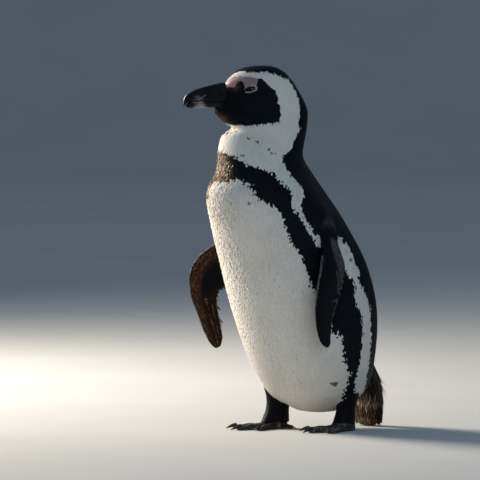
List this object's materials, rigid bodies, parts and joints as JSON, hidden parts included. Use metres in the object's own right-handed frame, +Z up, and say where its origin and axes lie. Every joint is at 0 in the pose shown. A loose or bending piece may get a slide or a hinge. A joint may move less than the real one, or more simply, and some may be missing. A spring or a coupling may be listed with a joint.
{
  "type": "standing penguin",
  "caption": "Life-size still model of a standing black-and-white penguin with a banded chest, its head turned to one side, one flipper held out and webbed feet flat on the ground.",
  "frame": {"origin": "middle of the bird's bounding box in plan, on the ground under its feet", "axes": "+Z up, breast towards -Y, the bird's own left side towards +X; the head is turned about 40 degrees to its right, towards -X"},
  "size_m": [0.2618, 0.288, 0.511],
  "materials": {
    "plumage": "dense short feathers, black above and white below",
    "bill_horn": "worn black horn with pale scuffs near the tip",
    "eye": "wet dark brown",
    "foot_skin": "scaly black skin with pinkish grey mottles",
    "claw_horn": "dull black horn"
  },
  "bodies": {
    "root": {"head": "plumage", "neck": "plumage", "trunk": "plumage", "tail": "plumage", "bill_upper": "bill_horn", "bill_lower": "bill_horn", "flipper_left": "plumage", "flipper_right": "plumage", "eye_left": "eye", "eye_right": "eye", "leg_left": "plumage", "leg_right": "plumage", "foot_left": "foot_skin", "foot_right": "foot_skin", "claw_left_inner": "claw_horn", "claw_left_middle": "claw_horn", "claw_left_outer": "claw_horn", "claw_left_hind": "claw_horn", "claw_right_inner": "claw_horn", "claw_right_middle": "claw_horn", "claw_right_outer": "claw_horn", "claw_right_hind": "claw_horn"}
  },
  "joints": []
}
